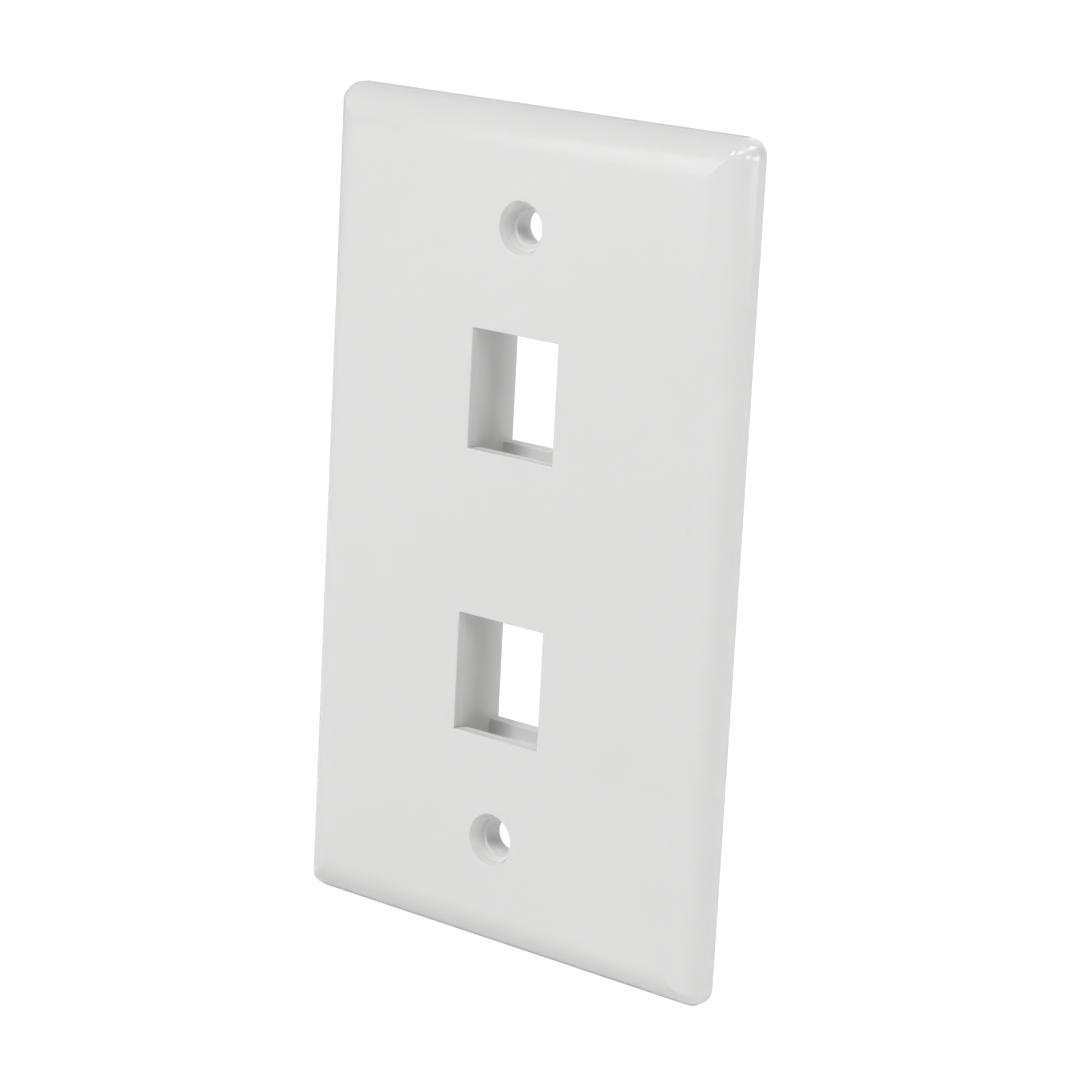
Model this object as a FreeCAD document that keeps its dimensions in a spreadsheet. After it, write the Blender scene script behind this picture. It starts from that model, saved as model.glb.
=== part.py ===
import FreeCAD, Part
import math
import os
import Sketcher

# Two-port keystone faceplate: one moulding that covers a single-gang wall box
# and holds two snap-in jacks. It stands upright: X is its width, +Z is up, the
# front faces -Y, and the wall touches the rear rim at Y = 0. The origin is
# midway between the two screw holes, on the wall's plane.

# alias, millimetres, what it is
SIZES = [
    ("plate_width", 69.85, "width of a single-gang plate"),
    ("plate_height", 114.3, "height of a single-gang plate"),
    ("plate_depth", 5.5, "wall to front face"),
    ("corner_radius", 2.5, "outline corner, smaller than the bevel"),
    ("bevel_width", 5.0, "bevel, measured along the face"),
    ("bevel_drop", 3.8, "bevel, measured back from the face"),
    ("skin_thickness", 2.0, "front wall behind the face"),
    ("rim_thickness", 1.8, "side wall at the wall plane"),
    ("hollow_radius", 1.5, "inner corners of the hollow back"),
    ("port_width", 14.7, "jack opening, side to side"),
    ("port_height", 16.3, "jack opening, top to bottom"),
    ("port_pitch", 38.8, "between the centres of the two openings"),
    ("port_depth", 9.3, "face to the rear of a port housing"),
    ("housing_wall", 1.6, "wall round a jack's pocket"),
    ("housing_radius", 0.8, "outer corners of a housing"),
    ("sill_depth", 2.0, "lip of the face that the jack hooks behind"),
    ("lug_pocket", 2.0, "pocket below the opening, for the fixed lug"),
    ("latch_pocket", 4.0, "pocket above the opening, for the latch"),
    ("lug_catch", 1.8, "thickness of the rear catch below"),
    ("latch_catch", 2.0, "thickness of the rear catch above"),
    ("latch_reach", 2.2, "how far the upper catch hangs into its pocket"),
    ("latch_ramp", 1.2, "lead-in on the upper catch"),
    ("screw_pitch", 83.34, "between the two screw holes"),
    ("screw_radius", 2.25, "clearance hole for a plate screw"),
    ("sink_radius", 3.65, "countersink at the face"),
    ("seat_radius", 2.75, "flat seat at the foot of the countersink"),
    ("seat_depth", 1.9, "face to the seat"),
    ("boss_radius", 4.6, "boss behind a screw hole"),
    ("boss_depth", 4.7, "face to the rear of a boss"),
    ("rib_thickness", 1.2, "stiffening rib"),
    ("rib_depth", 3.4, "face to the rear edge of a rib"),
    ("edge_break", 0.15, "rounding on the edges of the openings"),
    ("lip_break", 0.2, "rounding on the catches and on the rear rim"),
    ("cutter_margin", 3.0, "how far a cut runs past what it cuts"),
]

NODE = "faceplate"
ORIGIN = -1     # Sketcher's index for the sketch origin and its horizontal axis
START, END, CENTRE = 1, 2, 3
PORT_CENTRE = "-sizes.port_pitch / 2"
CLOSE = 1e-4    # millimetres within which two places count as one


def make_sheet(doc):
    """Driving dimensions, one row each: description, value and alias."""
    sheet = doc.addObject("Spreadsheet::Sheet", "sizes")
    for row, (alias, value, note) in enumerate(SIZES, start=1):
        sheet.set("A%d" % row, note)
        sheet.set("B%d" % row, str(value))
        sheet.setAlias("B%d" % row, alias)
    doc.recompute()
    return sheet


def origin_feature(body, role):
    """One of the body's own planes or axes."""
    return next(item for item in body.Origin.OriginFeatures if item.Role == role)


def add_sketch(body, name, plane, offset=None):
    """Sketch on an origin plane, or on one that is offset along its normal."""
    sketch = body.newObject("Sketcher::SketchObject", name)
    sketch.AttachmentSupport = [(origin_feature(body, plane), "")]
    sketch.MapMode = "FlatFace"
    if offset is not None:
        sketch.setExpression("AttachmentOffset.Base.z", offset)
    return sketch


def evaluate(sketch, formula):
    """Number that a formula of the sheet's aliases gives."""
    value = sketch.evalExpression(formula)
    return getattr(value, "Value", value)


def point_at(sketch, corner):
    """Point of a sketch from the formulas of its two coordinates."""
    return FreeCAD.Vector(evaluate(sketch, corner[0]), evaluate(sketch, corner[1]), 0)


def hold(sketch, kind, geometry, vertex, formula):
    """Tie one coordinate of a sketch vertex to a formula of the sheet's aliases."""
    value = evaluate(sketch, formula)
    constraint = Sketcher.Constraint(kind, ORIGIN, 1, geometry, vertex, value)
    index = sketch.addConstraint(constraint)
    sketch.setExpression("Constraints[%d]" % index, formula)


def hold_vertex(sketch, geometry, vertex, corner):
    """Tie both coordinates of a sketch vertex to their formulas."""
    hold(sketch, "DistanceX", geometry, vertex, corner[0])
    hold(sketch, "DistanceY", geometry, vertex, corner[1])


def join(sketch, geometry, vertex, other, other_vertex):
    """Make two sketch vertices one."""
    sketch.addConstraint(Sketcher.Constraint("Coincident", geometry, vertex, other, other_vertex))


def add_line(sketch, start, end):
    """Straight line between two points. Gives its number."""
    return sketch.addGeometry(Part.LineSegment(start, end), False)


def add_outline(sketch, corners):
    """Closed outline of straight lines through corners given as formulas."""
    points = [point_at(sketch, corner) for corner in corners]
    lines = [add_line(sketch, start, end) for start, end in zip(points, points[1:] + points[:1])]
    for index, line in enumerate(lines):
        join(sketch, lines[index - 1], END, line, START)
        hold_vertex(sketch, line, START, corners[index])


def add_circle(sketch, middle, radius):
    """Circle whose centre and radius are given as formulas."""
    size = evaluate(sketch, radius)
    shape = Part.Circle(point_at(sketch, middle), FreeCAD.Vector(0, 0, 1), size)
    circle = sketch.addGeometry(shape, False)
    hold_vertex(sketch, circle, CENTRE, middle)
    index = sketch.addConstraint(Sketcher.Constraint("Radius", circle, size))
    sketch.setExpression("Constraints[%d]" % index, radius)


def add_rectangle(sketch, half_across, low, high):
    """Rectangle that is centred across the sketch and runs from low to high."""
    left = "-(%s)" % half_across
    add_outline(sketch, [(left, low), (half_across, low), (half_across, high), (left, high)])


def add_pad(body, name, sketch, length, reverse=False):
    pad = body.newObject("PartDesign::Pad", name)
    pad.Profile = sketch
    pad.setExpression("Length", length)
    pad.Reversed = reverse
    return pad


def add_pocket(body, name, sketch, length, sides="One side", reverse=False):
    pocket = body.newObject("PartDesign::Pocket", name)
    pocket.Profile = sketch
    pocket.SideType = sides
    pocket.setExpression("Length", length)
    pocket.Reversed = reverse
    return pocket


def add_fillet(body, name, base, radius, wanted):
    """Round the edges of base that the test picks."""
    base.Document.recompute()
    edges = ["Edge%d" % (index + 1) for index, edge in enumerate(base.Shape.Edges) if wanted(edge)]
    fillet = body.newObject("PartDesign::Fillet", name)
    fillet.Base = (base, edges)
    fillet.setExpression("Radius", radius)
    return fillet


def runs_front_to_back(edge):
    """True for a straight edge square to the wall."""
    if edge.Degenerated or not isinstance(edge.Curve, Part.Line):
        return False
    return abs(abs(edge.Curve.Direction.y) - 1) < CLOSE


def lies_at_depth(edge, depth):
    """True for an edge that lies wholly at one distance in front of the wall."""
    box = edge.BoundBox
    return abs(box.YMin + depth) < CLOSE and abs(box.YMax + depth) < CLOSE


def make_blank(body):
    """Flat slab of the plate's outline, from the wall to the face."""
    sketch = add_sketch(body, "blank_outline", "XZ_Plane")
    add_rectangle(sketch, "sizes.plate_width / 2", "-sizes.plate_height / 2", "sizes.plate_height / 2")
    slab = add_pad(body, "blank", sketch, "sizes.plate_depth")
    return add_fillet(body, "blank_corners", slab, "sizes.corner_radius", runs_front_to_back)


def add_bevel_waste(sketch, half_size, sign, upright, inset):
    """Waste above one bevel, from a line at the inset out past the edge.

    The bevel is a convex arc about a centre as far in as the bevel is wide, so it
    is tangent to the face there. A smaller inset cuts the waste off sooner.
    """
    def corner(outward, forward):
        across = "%s * (%s)" % (sign, outward)
        along = "-(%s)" % forward
        return (along, across) if upright else (across, along)

    radius = "(sizes.bevel_width ^ 2 + sizes.bevel_drop ^ 2) / (2 * sizes.bevel_drop)"
    brow = "sizes.plate_depth - sizes.bevel_drop"
    above = "sizes.plate_depth + sizes.cutter_margin"
    inner = "%s - %s" % (half_size, inset)
    outer = "%s + sizes.cutter_margin" % half_size
    centre = corner("%s - sizes.bevel_width" % half_size, "sizes.plate_depth - " + radius)
    corners = [
        corner(inner, "sizes.plate_depth"),
        corner(inner, above),
        corner(outer, above),
        corner(outer, brow),
        corner(half_size, brow),
    ]
    points = [point_at(sketch, item) for item in corners]
    lines = [add_line(sketch, start, end) for start, end in zip(points, points[1:])]
    for before, line, item in zip(lines, lines[1:], corners[1:]):
        join(sketch, before, END, line, START)
        hold_vertex(sketch, line, START, item)
    hold_vertex(sketch, lines[-1], END, corners[-1])
    side, kind = (1, "DistanceY") if upright else (0, "DistanceX")
    hold(sketch, kind, lines[0], START, corners[0][side])
    add_bevel_arc(sketch, centre, lines[-1], lines[0])


def add_bevel_arc(sketch, centre, last, first):
    """Arc about a fixed centre, from the end of the last line to the start of the first."""
    foot = sketch.Geometry[last].EndPoint
    middle = point_at(sketch, centre)
    circle = Part.Circle(middle, FreeCAD.Vector(0, 0, 1), middle.distanceToPoint(foot))
    angles = [circle.parameter(point) for point in (foot, sketch.Geometry[first].StartPoint)]
    vertices = [START, END]
    if (angles[1] - angles[0]) % math.tau > math.pi:
        angles.reverse()
        vertices.reverse()
    arc = sketch.addGeometry(Part.ArcOfCircle(circle, angles[0], angles[1]), False)
    hold_vertex(sketch, arc, CENTRE, centre)
    join(sketch, last, END, arc, vertices[0])
    join(sketch, first, START, arc, vertices[1])


def cut_bevels(body):
    """Curved bevel along each side. The cuts cross, so the corners are mitred."""
    ends = add_sketch(body, "bevel_ends_profile", "YZ_Plane")
    for sign in ("1", "-1"):
        add_bevel_waste(ends, "sizes.plate_height / 2", sign, True, "sizes.bevel_width")
    add_pocket(body, "bevel_ends", ends, "2 * sizes.plate_width", sides="Symmetric")

    sides = add_sketch(body, "bevel_sides_profile", "XY_Plane")
    for sign in ("1", "-1"):
        add_bevel_waste(sides, "sizes.plate_width / 2", sign, False, "sizes.bevel_width")
    add_pocket(body, "bevel_sides", sides, "2 * sizes.plate_height", sides="Symmetric")


def round_bevel_corners(body):
    """Carry the bevel round the outline's corners, so only its inner part stays mitred."""
    beside = "sizes.plate_width / 2 - sizes.corner_radius"
    profile = add_sketch(body, "bevel_corner_profile", "YZ_Plane", beside)
    add_bevel_waste(profile, "sizes.plate_height / 2", "1", True, "sizes.corner_radius")
    corner = body.newObject("PartDesign::Groove", "bevel_corner")
    corner.Profile = profile
    corner.ReferenceAxis = (profile, ["Edge1"])
    corner.Angle = 90
    corner.Reversed = True
    mirrors = [add_mirror(body, "mirror_across", "YZ_Plane"), add_mirror(body, "mirror_along", "XY_Plane")]
    pattern = body.newObject("PartDesign::MultiTransform", "bevel_corners")
    pattern.Originals = [corner]
    pattern.Transformations = mirrors
    body.Tip = pattern


def add_mirror(body, name, plane, originals=()):
    """Mirror across one of the middle planes."""
    mirror = body.newObject("PartDesign::Mirrored", name)
    mirror.Originals = list(originals)
    mirror.MirrorPlane = (origin_feature(body, plane), [""])
    return mirror


def cut_hollow(body, sheet):
    """Hollow back inside the rim, with rounded inner corners."""
    sketch = add_sketch(body, "hollow_outline", "XZ_Plane")
    half_across = "sizes.plate_width / 2 - sizes.rim_thickness"
    half_along = "sizes.plate_height / 2 - sizes.rim_thickness"
    add_rectangle(sketch, half_across, "-(%s)" % half_along, half_along)
    hollow = add_pocket(body, "hollow", sketch, "sizes.plate_depth - sizes.skin_thickness", reverse=True)
    floor = sheet.plate_depth - sheet.skin_thickness
    reach = sheet.plate_width / 2 - sheet.rim_thickness + CLOSE

    def inner_corner(edge):
        inside = abs(edge.CenterOfMass.x) < reach
        return inside and runs_front_to_back(edge) and edge.Length > floor - CLOSE

    def floor_edge(edge):
        return lies_at_depth(edge, floor)

    corners = add_fillet(body, "hollow_corners", hollow, "sizes.hollow_radius", inner_corner)
    add_fillet(body, "hollow_floor", corners, "sizes.hollow_radius", floor_edge)


def add_housings(body, sheet):
    """Blocks behind the skin that the two ports are cut from, with rounded corners."""
    sketch = add_sketch(body, "housing_outline", "XZ_Plane", "sizes.plate_depth - sizes.sill_depth")
    low = PORT_CENTRE + " - sizes.port_height / 2 - sizes.lug_pocket - sizes.housing_wall"
    high = PORT_CENTRE + " + sizes.port_height / 2 + sizes.latch_pocket + sizes.housing_wall"
    add_rectangle(sketch, "sizes.port_width / 2 + sizes.housing_wall", low, high)
    block = add_pad(body, "housing", sketch, "sizes.port_depth - sizes.sill_depth", reverse=True)
    blocks = repeat_upward(body, "housings", [block])
    length = sheet.port_depth - sheet.skin_thickness

    def outer_corner(edge):
        return runs_front_to_back(edge) and abs(edge.Length - length) < CLOSE

    add_fillet(body, "housing_corners", blocks, "sizes.housing_radius", outer_corner)


def add_ribs(body):
    """Two upright ribs in line with the side walls of the port housings."""
    sketch = add_sketch(body, "rib_outlines", "XZ_Plane", "sizes.plate_depth - sizes.sill_depth")
    middle = "(sizes.port_width + sizes.housing_wall) / 2"
    high = "sizes.plate_height / 2 - sizes.rim_thickness"
    low = "-(%s)" % high
    for sign in ("1", "-1"):
        inner = "%s * (%s - sizes.rib_thickness / 2)" % (sign, middle)
        outer = "%s * (%s + sizes.rib_thickness / 2)" % (sign, middle)
        add_outline(sketch, [(inner, low), (outer, low), (outer, high), (inner, high)])
    add_pad(body, "ribs", sketch, "sizes.rib_depth - sizes.sill_depth", reverse=True)


def cut_ports(body):
    """Both ports, each one a side section cut across the opening's whole width."""
    section = add_sketch(body, "port_section", "YZ_Plane")
    add_outline(section, port_corners())
    port = add_pocket(body, "port", section, "sizes.port_width", sides="Symmetric")
    repeat_upward(body, "ports", [port])


def port_corners():
    """Side section of the lower port, as corners (distance from the wall, height).

    The jack's fixed lug hooks into the shallow pocket below, between the sill
    and the lower catch. Its spring latch snaps up into the taller pocket above,
    past the ramp of the upper catch.
    """
    ahead = "-sizes.plate_depth - sizes.cutter_margin"
    sill = "-sizes.plate_depth + sizes.sill_depth"
    rear = "-sizes.plate_depth + sizes.port_depth"
    behind = rear + " + sizes.cutter_margin"
    lug_stop = rear + " - sizes.lug_catch"
    latch_stop = rear + " - sizes.latch_catch"
    ramp_start = rear + " - sizes.latch_ramp"

    bottom = PORT_CENTRE + " - sizes.port_height / 2"
    top = PORT_CENTRE + " + sizes.port_height / 2"
    lug_floor = bottom + " - sizes.lug_pocket"
    latch_roof = top + " + sizes.latch_pocket"
    catch_tip = latch_roof + " - sizes.latch_reach"
    ramp_top = catch_tip + " + sizes.latch_ramp"
    return [
        (ahead, bottom),
        (sill, bottom),
        (sill, lug_floor),
        (lug_stop, lug_floor),
        (lug_stop, bottom),
        (behind, bottom),
        (behind, ramp_top),
        (rear, ramp_top),
        (ramp_start, catch_tip),
        (latch_stop, catch_tip),
        (latch_stop, latch_roof),
        (sill, latch_roof),
        (sill, top),
        (ahead, top),
    ]


def repeat_upward(body, name, features):
    """The same features again, one port pitch higher."""
    pattern = body.newObject("PartDesign::LinearPattern", name)
    pattern.Originals = features
    pattern.Direction = (origin_feature(body, "Z_Axis"), [""])
    pattern.Mode = "Extent"
    pattern.setExpression("Length", "sizes.port_pitch")
    pattern.Occurrences = 2
    body.Tip = pattern
    return pattern


def add_screw_holes(body):
    """Boss behind the upper screw hole, the countersunk bore through it, and their mirror image."""
    outline = add_sketch(body, "boss_outline", "XZ_Plane", "sizes.plate_depth - sizes.sill_depth")
    add_circle(outline, ("0", "sizes.screw_pitch / 2"), "sizes.boss_radius")
    boss = add_pad(body, "screw_boss", outline, "sizes.boss_depth - sizes.sill_depth", reverse=True)

    section = add_sketch(body, "screw_section", "YZ_Plane")
    add_outline(section, screw_corners())
    bore = body.newObject("PartDesign::Groove", "screw_hole")
    bore.Profile = section
    bore.ReferenceAxis = (section, ["Edge%d" % section.GeometryCount])
    bore.Angle = 360
    holes = add_mirror(body, "screw_holes", "XY_Plane", [boss, bore])
    body.Tip = holes
    return holes


def screw_corners():
    """Half section of a screw hole, ending with the line that it turns about."""
    axis = "sizes.screw_pitch / 2"
    ahead = "-sizes.plate_depth - sizes.cutter_margin"
    face = "-sizes.plate_depth"
    seat = "-sizes.plate_depth + sizes.seat_depth"
    behind = "-sizes.plate_depth + sizes.boss_depth + sizes.cutter_margin"
    return [
        (ahead, axis),
        (ahead, axis + " + sizes.sink_radius"),
        (face, axis + " + sizes.sink_radius"),
        (seat, axis + " + sizes.seat_radius"),
        (seat, axis + " + sizes.screw_radius"),
        (behind, axis + " + sizes.screw_radius"),
        (behind, axis),
    ]


def break_edges(body, sheet, base):
    """Small roundings on the openings, on the lower catches and on the rear rim."""
    lug_stop = sheet.lug_catch - sheet.port_depth + sheet.plate_depth
    half_width = sheet.plate_width / 2

    def reach(edge):
        return max(edge.BoundBox.XMax, -edge.BoundBox.XMin)

    def on_opening(edge):
        return lies_at_depth(edge, sheet.plate_depth) and reach(edge) < half_width / 2

    def on_catch_or_rim(edge):
        on_catch = lies_at_depth(edge, lug_stop) and edge.BoundBox.ZLength < CLOSE
        on_rim = lies_at_depth(edge, 0) and reach(edge) > half_width - sheet.rim_thickness / 2
        return on_catch or on_rim

    openings = add_fillet(body, "opening_edges", base, "sizes.edge_break", on_opening)
    add_fillet(body, "rear_edges", openings, "sizes.lip_break", on_catch_or_rim)


def check(doc, body):
    """Stop if any object failed or the plate isn't one valid solid."""
    for item in doc.Objects:
        if "Invalid" in item.State or "Error" in item.State:
            raise RuntimeError("%s failed: %s" % (item.Label, item.State))
    shape = body.Shape
    if shape.isNull() or not shape.isValid() or len(shape.Solids) != 1:
        raise RuntimeError("%s isn't one valid solid" % body.Label)


def report(body):
    """Print the true outer size and the volume."""
    box = body.Shape.optimalBoundingBox(True, False)
    print("%s: %.2f x %.2f x %.2f mm" % (body.Label, box.XLength, box.YLength, box.ZLength))
    print("volume %.0f mm3" % body.Shape.Volume)


def main():
    doc = FreeCAD.newDocument("keystone_faceplate")
    sheet = make_sheet(doc)
    body = doc.addObject("PartDesign::Body", NODE)
    body.Label = NODE
    body.Placement = FreeCAD.Placement()
    make_blank(body)
    cut_bevels(body)
    round_bevel_corners(body)
    cut_hollow(body, sheet)
    add_housings(body, sheet)
    add_ribs(body)
    cut_ports(body)
    holes = add_screw_holes(body)
    break_edges(body, sheet, holes)
    doc.recompute()
    check(doc, body)
    os.makedirs("parts", exist_ok=True)
    body.Shape.exportStep("parts/%s.step" % body.Label)
    report(body)


main()
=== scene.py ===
import math

import bpy
from mathutils import Matrix, Vector


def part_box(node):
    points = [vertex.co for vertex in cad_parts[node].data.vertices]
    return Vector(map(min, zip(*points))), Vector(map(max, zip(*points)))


# Two-port keystone faceplate in white moulded plastic, upright on a white studio floor.
# X is the plate's width, +Z is up and the front faces -Y. Lengths are in metres.

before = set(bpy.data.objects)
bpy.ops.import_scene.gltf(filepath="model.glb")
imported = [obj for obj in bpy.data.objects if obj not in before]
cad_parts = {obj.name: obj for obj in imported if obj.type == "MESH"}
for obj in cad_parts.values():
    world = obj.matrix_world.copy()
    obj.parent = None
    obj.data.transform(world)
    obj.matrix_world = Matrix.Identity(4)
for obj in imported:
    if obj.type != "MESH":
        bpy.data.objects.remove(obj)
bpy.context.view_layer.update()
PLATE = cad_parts["faceplate"]

PLATE_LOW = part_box("faceplate")[0]
FACE_Y = PLATE_LOW[1]

# Camera, placed from the point near the middle of the plate's face that it looks at
CAMERA_AZIMUTH = 39.49
CAMERA_RISE = 13.14
CAMERA_ROLL = 3.03
CAMERA_DISTANCE = 0.4847
CAMERA_LENS = 122.9
CAMERA_AIM = Vector((0.00605, FACE_Y, 0.00121))

# Brightness, with 1.0 for a full white: of the ground where it is seen, and of the room's light
SEEN_WHITE = 1.05
ROOM_LIGHT = 0.13

# Broad glow of the room, low behind the plate. It fades with a power of the angle's cosine
GLOW_AZIMUTH = -135.0
GLOW_RISE = 10.0
GLOW_BRIGHTNESS = 0.45
GLOW_FALL = 6.0

# Round floor just under the plate. Its glow is the share of its look that no shadow reaches
FLOOR_RADIUS = 3.0
FLOOR_CORNERS = 96
FLOOR_GAP = 0.0001
FLOOR_COLOUR = (0.95, 0.95, 0.95, 1.0)
FLOOR_GLOW = 0.94

# Softboxes: azimuth, rise of the middle, distance, width, height, roll, brightness
SOFTBOXES = {
    "key": (-23.0, 46.0, 2.0, 0.60, 1.25, 0.0, 8.75),
    "fill": (47.0, 49.5, 1.5, 0.45, 0.45, 0.0, 4.70),
    "panel": (-35.2, 22.0, 1.0, 0.25, 1.00, 3.5, 1.95),
    "side": (78.0, 12.0, 1.0, 0.25, 0.35, 0.0, 4.30),
    "rim": (100.0, 5.5, 1.0, 0.28, 0.30, 0.0, 5.50),
    "corner": (100.0, 57.0, 1.0, 0.30, 0.30, 0.0, 6.00),
    "back": (-172.0, 36.0, 1.0, 0.90, 0.90, 0.0, 1.00),
}

# Plastic: one white, drifting a little in tone, glossy in front and matt in the hollow back
PLASTIC_COLOUR = (0.730, 0.730, 0.726, 1.0)
DRIFTED_COLOUR = (0.712, 0.713, 0.707, 1.0)
PLASTIC_IOR = 1.52
FRONT_ROUGHNESS = (0.11, 0.16)
REAR_ROUGHNESS = (0.36, 0.46)

# Unevenness: the drift of tone and gloss, the waves of the front and the grain of the back
DRIFT = {"Size": 0.030, "Octaves": 2.0}
WAVES = {"Size": 0.007, "Octaves": 1.0}
GRAIN = {"Size": 0.00022, "Octaves": 3.0}
WAVE_HEIGHT = 0.000004
GRAIN_HEIGHT = 0.000012

# Raw noise of an unevenness: the range that becomes 0 to 1, and the share of each finer octave
NOISE_RANGE = (0.25, 0.75)
NOISE_ROUGHNESS = 0.5

# Hollow back, as two boxes inside the plate's skin: half width, half height, foremost depth
HOLLOW_BOXES = ((0.0325, 0.0547, -0.0044), (0.0340, 0.0562, -0.0033))

# Smooth round marks that the ejector pins leave in the grain, at these distances from the middle
PIN_PLACES = ((0.0285, 0.0500), (0.0285, 0.0194), (0.0150, 0.0365))
PIN_RADIUS = 0.0016
PIN_EDGE = 0.0001
PIN_ROUGHNESS = 0.20

# Colour sockets of a mix node, by number because it has other sockets of the same names
COLOUR_A, COLOUR_B, COLOUR_RESULT = 6, 7, 2


def direction(azimuth, rise):
    """Unit vector from the plate. Azimuth 0 is straight in front, 90 to its right."""
    turn, lift = math.radians(azimuth), math.radians(rise)
    flat = math.cos(lift)
    return Vector((math.sin(turn) * flat, -math.cos(turn) * flat, math.sin(lift)))


def facing_from(towards, roll):
    """Rotation of a camera or lamp that looks back from a direction, turned by the roll."""
    aim = towards.to_track_quat("Z", "Y").to_matrix()
    return (aim @ Matrix.Rotation(math.radians(roll), 3, "Z")).to_euler()


def make_camera():
    """Camera in front of the plate, above it and to its right, slightly rolled."""
    data = bpy.data.cameras.new("camera")
    data.lens = CAMERA_LENS
    camera = bpy.data.objects.new("camera", data)
    bpy.context.scene.collection.objects.link(camera)
    towards = direction(CAMERA_AZIMUTH, CAMERA_RISE)
    camera.location = CAMERA_AIM + towards * CAMERA_DISTANCE
    camera.rotation_euler = facing_from(towards, CAMERA_ROLL)
    bpy.context.scene.camera = camera


def make_softbox(name, azimuth, rise, distance, width, height, roll, brightness):
    """Rectangular softbox that faces the plate, turned about its own middle by the roll.

    A lamp's power is the brightness of its face times pi times its area.
    """
    data = bpy.data.lights.new(name, "AREA")
    data.shape = "RECTANGLE"
    data.size, data.size_y = width, height
    data.energy = brightness * math.pi * width * height
    lamp = bpy.data.objects.new(name, data)
    bpy.context.scene.collection.objects.link(lamp)
    towards = direction(azimuth, rise)
    lamp.location = towards * distance
    lamp.rotation_euler = facing_from(towards, roll)


def make_softboxes():
    """All softboxes of the studio."""
    for name, values in SOFTBOXES.items():
        make_softbox(name, *values)


def empty_tree(owner):
    """Node tree of a material or world, without its first nodes."""
    owner.use_nodes = True
    owner.node_tree.nodes.clear()
    return owner.node_tree


def add_node(tree, kind, inputs=None, **settings):
    """Node with its settings and input values in place. Gives the node."""
    node = tree.nodes.new(kind)
    for name, value in settings.items():
        setattr(node, name, value)
    for name, value in (inputs or {}).items():
        socket = node.inputs[name]
        if isinstance(value, bpy.types.NodeSocket):
            tree.links.new(value, socket)
        else:
            socket.default_value = value
    return node


def combine(tree, operation, *values):
    """Result of one step of arithmetic."""
    node = add_node(tree, "ShaderNodeMath", dict(enumerate(values)), operation=operation)
    return node.outputs["Value"]


def combine_vectors(tree, operation, *values):
    """Outputs Vector and Value of one step of vector arithmetic."""
    inputs = dict(enumerate(values))
    return add_node(tree, "ShaderNodeVectorMath", inputs, operation=operation).outputs


def blend(tree, share, first, second):
    """Value that turns from the first into the second as the share goes from 0 to 1."""
    node = add_node(tree, "ShaderNodeMix", {"Factor": share, "A": first, "B": second})
    return node.outputs["Result"]


def spread(tree, level, low, high):
    """Level from 0 to 1 spread between two values."""
    node = add_node(tree, "ShaderNodeMapRange", {"Value": level, "To Min": low, "To Max": high})
    return node.outputs["Result"]


def make_world():
    """Dim even room with one broad glow. It looks white where it is seen."""
    world = bpy.data.worlds.new("studio")
    bpy.context.scene.world = world
    tree = empty_tree(world)
    towards = add_node(tree, "ShaderNodeTexCoord").outputs["Generated"]
    glow_middle = direction(GLOW_AZIMUTH, GLOW_RISE)
    cosine = combine_vectors(tree, "DOT_PRODUCT", towards, glow_middle)["Value"]
    fade = combine(tree, "POWER", combine(tree, "MAXIMUM", cosine, 0.0), GLOW_FALL)
    light = combine(tree, "ADD", combine(tree, "MULTIPLY", fade, GLOW_BRIGHTNESS), ROOM_LIGHT)
    path = add_node(tree, "ShaderNodeLightPath").outputs
    background = add_node(tree, "ShaderNodeBackground", {
        "Color": (1.0, 1.0, 1.0, 1.0),
        "Strength": blend(tree, path["Is Camera Ray"], light, SEEN_WHITE),
    })
    add_node(tree, "ShaderNodeOutputWorld", {"Surface": background.outputs["Background"]})


def make_floor():
    """Pale round floor under the plate's lower edge, lit so evenly that it looks white."""
    bpy.ops.mesh.primitive_circle_add(
        vertices=FLOOR_CORNERS,
        radius=FLOOR_RADIUS,
        fill_type="NGON",
    )
    floor = bpy.context.object
    floor.name = "floor"
    floor.location = (0.0, 0.0, PLATE_LOW[2] - FLOOR_GAP)
    material = bpy.data.materials.new("pale_floor")
    tree = empty_tree(material)
    path = add_node(tree, "ShaderNodeLightPath").outputs
    matt = add_node(tree, "ShaderNodeBsdfDiffuse", {"Color": FLOOR_COLOUR})
    glow = add_node(tree, "ShaderNodeEmission", {"Strength": SEEN_WHITE})
    mixed = add_node(tree, "ShaderNodeMixShader", {
        0: combine(tree, "MULTIPLY", path["Is Camera Ray"], FLOOR_GLOW),
        1: matt.outputs["BSDF"],
        2: glow.outputs["Emission"],
    })
    add_node(tree, "ShaderNodeOutputMaterial", {"Surface": mixed.outputs["Shader"]})
    floor.data.materials.append(material)


def make_group(name, inputs, outputs):
    """Empty shader node group with named sockets. Gives its tree and its input node's sockets."""
    tree = bpy.data.node_groups.new(name, "ShaderNodeTree")
    for label, kind in inputs.items():
        tree.interface.new_socket(label, in_out="INPUT", socket_type=kind)
    for label in outputs:
        tree.interface.new_socket(label, in_out="OUTPUT", socket_type="NodeSocketFloat")
    return tree, tree.nodes.new("NodeGroupInput").outputs


def place_group(tree, group, inputs):
    """Node that uses a group. Gives its outputs."""
    return add_node(tree, "ShaderNodeGroup", inputs, node_tree=group).outputs


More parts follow.
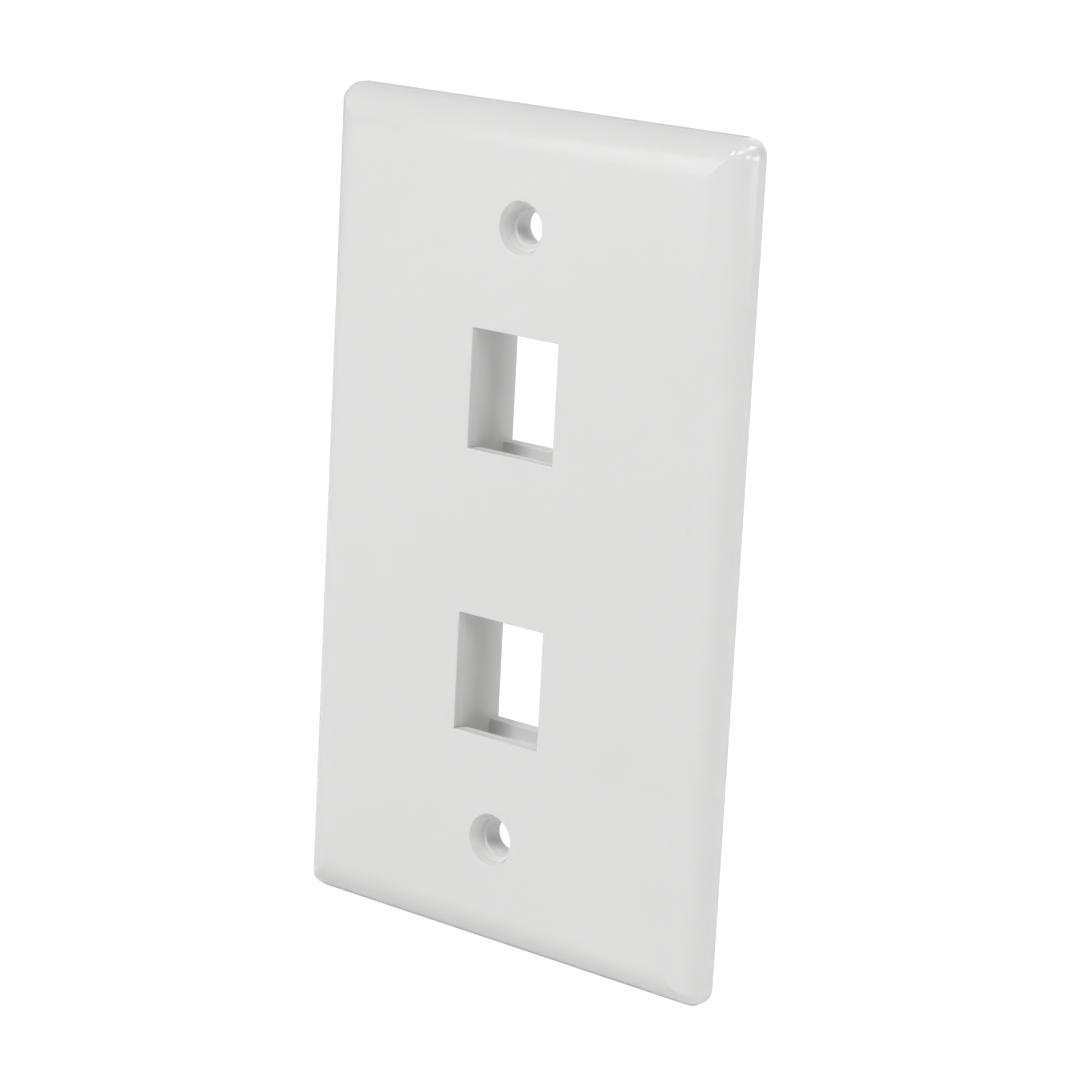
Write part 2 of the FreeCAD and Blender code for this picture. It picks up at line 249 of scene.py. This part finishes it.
def make_unevenness():
    """Soft random swell of a given size. Level runs from 0 to 1."""
    tree, given = make_group("unevenness", {
        "Point": "NodeSocketVector",
        "Size": "NodeSocketFloat",
        "Octaves": "NodeSocketFloat",
    }, ["Level"])
    noise = add_node(tree, "ShaderNodeTexNoise", {
        "Vector": given["Point"],
        "Scale": combine(tree, "DIVIDE", 1.0, given["Size"]),
        "Detail": given["Octaves"],
        "Roughness": NOISE_ROUGHNESS,
    })
    level = add_node(tree, "ShaderNodeMapRange", {
        "Value": noise.outputs["Fac"],
        "From Min": NOISE_RANGE[0],
        "From Max": NOISE_RANGE[1],
    })
    add_node(tree, "NodeGroupOutput", {"Level": level.outputs["Result"]})
    return tree


def make_box_mask():
    """1 inside a box that is centred on the plate and open to the rear, 0 outside."""
    tree, given = make_group("box_mask", {
        "Point": "NodeSocketVector",
        "Half Width": "NodeSocketFloat",
        "Half Height": "NodeSocketFloat",
        "Front": "NodeSocketFloat",
    }, ["Mask"])
    axes = add_node(tree, "ShaderNodeSeparateXYZ", {"Vector": given["Point"]}).outputs
    across = combine(tree, "LESS_THAN", combine(tree, "ABSOLUTE", axes["X"]), given["Half Width"])
    along = combine(tree, "LESS_THAN", combine(tree, "ABSOLUTE", axes["Z"]), given["Half Height"])
    behind = combine(tree, "GREATER_THAN", axes["Y"], given["Front"])
    mask = combine(tree, "MULTIPLY", combine(tree, "MULTIPLY", across, along), behind)
    add_node(tree, "NodeGroupOutput", {"Mask": mask})
    return tree


def make_pin_marks():
    """Round marks, the same in all four quarters of the plate. Mark is 1 inside and 0 outside."""
    tree, given = make_group("pin_marks", {
        "Point": "NodeSocketVector",
        "Radius": "NodeSocketFloat",
        "Edge": "NodeSocketFloat",
    }, ["Mark"])
    folded = combine_vectors(tree, "ABSOLUTE", given["Point"])["Vector"]
    flat = combine_vectors(tree, "MULTIPLY", folded, (1.0, 0.0, 1.0))["Vector"]
    nearest = None
    for across, along in PIN_PLACES:
        distance = combine_vectors(tree, "DISTANCE", flat, (across, 0.0, along))["Value"]
        nearest = distance if nearest is None else combine(tree, "MINIMUM", nearest, distance)
    mark = add_node(tree, "ShaderNodeMapRange", {
        "Value": nearest,
        "From Min": given["Radius"],
        "From Max": combine(tree, "SUBTRACT", given["Radius"], given["Edge"]),
    }, interpolation_type="SMOOTHSTEP")
    add_node(tree, "NodeGroupOutput", {"Mark": mark.outputs["Result"]})
    return tree


def hollow_mask(tree, point):
    """1 in the hollow back, 0 on the front and the rim."""
    box_mask = make_box_mask()
    masks = []
    for half_width, half_height, front in HOLLOW_BOXES:
        masks.append(place_group(tree, box_mask, {
            "Point": point,
            "Half Width": half_width,
            "Half Height": half_height,
            "Front": front,
        })["Mask"])
    return combine(tree, "MAXIMUM", *masks)


def make_plastic():
    """White moulded plastic: glossy and slightly wavy in front, grained and matt in the hollow."""
    material = bpy.data.materials.new("white_plastic")
    tree = empty_tree(material)
    point = add_node(tree, "ShaderNodeTexCoord").outputs["Object"]
    unevenness = make_unevenness()
    drift = place_group(tree, unevenness, {"Point": point, **DRIFT})["Level"]
    waves = place_group(tree, unevenness, {"Point": point, **WAVES})["Level"]
    grain = place_group(tree, unevenness, {"Point": point, **GRAIN})["Level"]
    hollow = hollow_mask(tree, point)
    pin_mark = place_group(tree, make_pin_marks(), {
        "Point": point,
        "Radius": PIN_RADIUS,
        "Edge": PIN_EDGE,
    })["Mark"]
    grained = combine(tree, "MULTIPLY", hollow, combine(tree, "SUBTRACT", 1.0, pin_mark))

    colour = add_node(tree, "ShaderNodeMix", {
        "Factor": drift,
        COLOUR_A: PLASTIC_COLOUR,
        COLOUR_B: DRIFTED_COLOUR,
    }, data_type="RGBA").outputs[COLOUR_RESULT]
    front_roughness = spread(tree, drift, *FRONT_ROUGHNESS)
    grain_roughness = spread(tree, grain, *REAR_ROUGHNESS)
    rear_roughness = blend(tree, pin_mark, grain_roughness, PIN_ROUGHNESS)

    # The height is in metres, so the bump takes it unscaled
    swell = combine(tree, "MULTIPLY", waves, WAVE_HEIGHT)
    pitted = combine(tree, "MULTIPLY", combine(tree, "MULTIPLY", grain, grained), GRAIN_HEIGHT)
    bump = add_node(tree, "ShaderNodeBump", {
        "Height": combine(tree, "ADD", swell, pitted),
        "Strength": 1.0,
        "Distance": 1.0,
    })

    shader = add_node(tree, "ShaderNodeBsdfPrincipled", {
        "Base Color": colour,
        "Roughness": blend(tree, hollow, front_roughness, rear_roughness),
        "IOR": PLASTIC_IOR,
        "Normal": bump.outputs["Normal"],
    })
    add_node(tree, "ShaderNodeOutputMaterial", {"Surface": shader.outputs["BSDF"]})
    return material


def dress_plate():
    """The plastic, on the whole plate."""
    plastic = make_plastic()
    for slot in PLATE.material_slots:
        slot.material = plastic


bpy.context.scene.view_settings.view_transform = "Standard"
make_camera()
make_world()
make_floor()
make_softboxes()
dress_plate()
